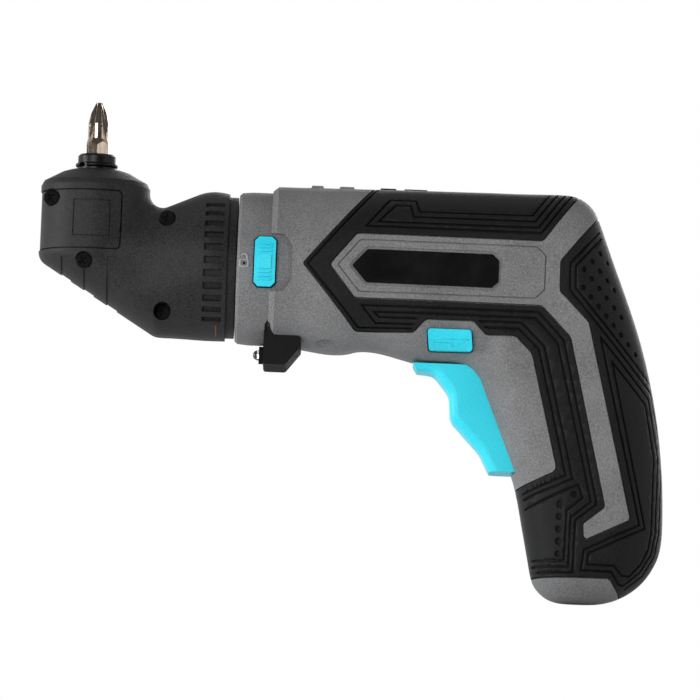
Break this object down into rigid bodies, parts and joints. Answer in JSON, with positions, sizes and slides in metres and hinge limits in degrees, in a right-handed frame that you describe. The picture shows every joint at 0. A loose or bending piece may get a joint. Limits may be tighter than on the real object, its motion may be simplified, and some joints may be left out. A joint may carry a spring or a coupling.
{
  "type": "electric screwdriver",
  "caption": "Pistol-grip electric screwdriver with a turning right-angle head, trigger, direction bar and hex bit holder driven through planetary and bevel gears.",
  "frame": {"origin": "tip of the bit, on the bit's axis", "axes": "+Z along the bit out of the head, +X back along the motor axis to the grip, +Y to the tool's right"},
  "size_m": [0.181, 0.0471, 0.138],
  "materials": {
    "housing_grey": "fine spark texture",
    "grip_black": "moulded relief",
    "plate_black": "smooth",
    "lamp_black": "moulded",
    "lamp_clear": "clear",
    "control_cyan": "satin",
    "switch_black": "moulded",
    "cell_wrap": "shrink sleeve",
    "board_green": "solder mask",
    "socket_steel": "plated",
    "motor_steel": "zinc plated",
    "shaft_steel": "ground",
    "gear_steel": "sintered",
    "bush_bronze": "sintered",
    "head_black": "fine spark texture",
    "spindle_steel": "black oxide",
    "magnet_nickel": "nickel plated",
    "bit_steel": "satin chrome"
  },
  "bodies": {
    "housing": {"housing_left": "housing_grey", "housing_right": "housing_grey", "grip_left": "grip_black", "grip_right": "grip_black", "nameplate_left": "plate_black", "nameplate_right": "plate_black", "lamp_holder": "lamp_black", "lamp": "lamp_clear", "trigger_switch": "switch_black", "battery_cell": "cell_wrap", "control_board": "board_green", "charge_socket": "socket_steel", "ring_gear": "gear_steel", "gearbox_front": "switch_black", "output_bush": "bush_bronze", "motor_plate": "motor_steel", "motor_can": "motor_steel", "motor_end_cap": "switch_black"},
    "lock": {"lock_slider": "control_cyan"},
    "trigger": {"trigger": "control_cyan", "switch_plunger": "switch_black"},
    "direction": {"direction_bar": "control_cyan"},
    "rotor": {"motor_shaft": "shaft_steel", "motor_pinion": "gear_steel"},
    "carrier_one": {"first_carrier": "gear_steel"},
    "output": {"output_carrier": "gear_steel"},
    "head": {"head_left": "head_black", "head_right": "head_black", "head_cover": "head_black", "index_ring": "head_black", "front_bush": "bush_bronze", "rear_bush": "bush_bronze", "foot_bush": "bush_bronze", "collar_bush": "bush_bronze"},
    "input": {"input_shaft": "shaft_steel", "bevel_pinion": "gear_steel"},
    "spindle": {"spindle": "spindle_steel", "bevel_wheel": "gear_steel", "bit_magnet": "magnet_nickel", "snap_ring": "spindle_steel"},
    "bit": {"bit": "bit_steel"},
    "planet_one_1": {"planet_one_1": "gear_steel"},
    "planet_two_1": {"planet_two_1": "gear_steel"},
    "planet_one_2": {"planet_one_2": "gear_steel"},
    "planet_two_2": {"planet_two_2": "gear_steel"},
    "planet_one_3": {"planet_one_3": "gear_steel"},
    "planet_two_3": {"planet_two_3": "gear_steel"}
  },
  "joints": [
    {"name": "lock_slide", "type": "slide", "parent": "housing", "child": "lock", "axis": [1, 0, 0], "range_m": [0, 0.0035]},
    {"name": "trigger_pull", "type": "slide", "parent": "housing", "child": "trigger", "axis": [1, 0, 0], "range_m": [0, 0.004], "stiffness_N_per_m": 400, "springref_m": -0.001},
    {"name": "direction_slide", "type": "slide", "parent": "housing", "child": "direction", "axis": [0, 1, 0], "range_m": [-0.0025, 0.0025]},
    {"name": "head_turn", "type": "hinge", "parent": "housing", "child": "head", "pos_m": [0.0414, 0, -0.046], "axis": [1, 0, 0], "continuous": true},
    {"name": "output_spin", "type": "hinge", "parent": "housing", "child": "output", "pos_m": [0.058, 0, -0.046], "axis": [1, 0, 0], "continuous": true},
    {"name": "carrier_one_spin", "type": "hinge", "parent": "housing", "child": "carrier_one", "pos_m": [0.07, 0, -0.046], "axis": [1, 0, 0], "continuous": true},
    {"name": "rotor_spin", "type": "hinge", "parent": "housing", "child": "rotor", "pos_m": [0.078, 0, -0.046], "axis": [1, 0, 0], "continuous": true},
    {"name": "input_spin", "type": "hinge", "parent": "head", "child": "input", "pos_m": [0.02, 0, -0.046], "axis": [1, 0, 0], "continuous": true},
    {"name": "spindle_spin", "type": "hinge", "parent": "head", "child": "spindle", "pos_m": [0, 0, -0.028], "axis": [0, 0, 1], "continuous": true},
    {"name": "bit_pull", "type": "slide", "parent": "spindle", "child": "bit", "axis": [0, 0, 1], "range_m": [0, 0.012]},
    {"name": "planet_one_1_spin", "type": "hinge", "parent": "carrier_one", "child": "planet_one_1", "pos_m": [0.0746, 0, -0.0379], "axis": [1, 0, 0], "continuous": true},
    {"name": "planet_two_1_spin", "type": "hinge", "parent": "output", "child": "planet_two_1", "pos_m": [0.0663, 0, -0.0379], "axis": [1, 0, 0], "continuous": true},
    {"name": "planet_one_2_spin", "type": "hinge", "parent": "carrier_one", "child": "planet_one_2", "pos_m": [0.0746, -0.00701, -0.05005], "axis": [1, 0, 0], "continuous": true},
    {"name": "planet_two_2_spin", "type": "hinge", "parent": "output", "child": "planet_two_2", "pos_m": [0.0663, -0.00701, -0.05005], "axis": [1, 0, 0], "continuous": true},
    {"name": "planet_one_3_spin", "type": "hinge", "parent": "carrier_one", "child": "planet_one_3", "pos_m": [0.0746, 0.00701, -0.05005], "axis": [1, 0, 0], "continuous": true},
    {"name": "planet_two_3_spin", "type": "hinge", "parent": "output", "child": "planet_two_3", "pos_m": [0.0663, 0.00701, -0.05005], "axis": [1, 0, 0], "continuous": true}
  ],
  "couplings": [
    {"joint": "carrier_one_spin", "follows": "output_spin", "ratio": 4.5},
    {"joint": "rotor_spin", "follows": "output_spin", "ratio": 20.25},
    {"joint": "input_spin", "follows": "output_spin", "ratio": 1},
    {"joint": "spindle_spin", "follows": "output_spin", "ratio": -0.75},
    {"joint": "planet_one_1_spin", "follows": "output_spin", "ratio": -12.6},
    {"joint": "planet_two_1_spin", "follows": "output_spin", "ratio": -2.8},
    {"joint": "planet_one_2_spin", "follows": "output_spin", "ratio": -12.6},
    {"joint": "planet_two_2_spin", "follows": "output_spin", "ratio": -2.8},
    {"joint": "planet_one_3_spin", "follows": "output_spin", "ratio": -12.6},
    {"joint": "planet_two_3_spin", "follows": "output_spin", "ratio": -2.8}
  ]
}
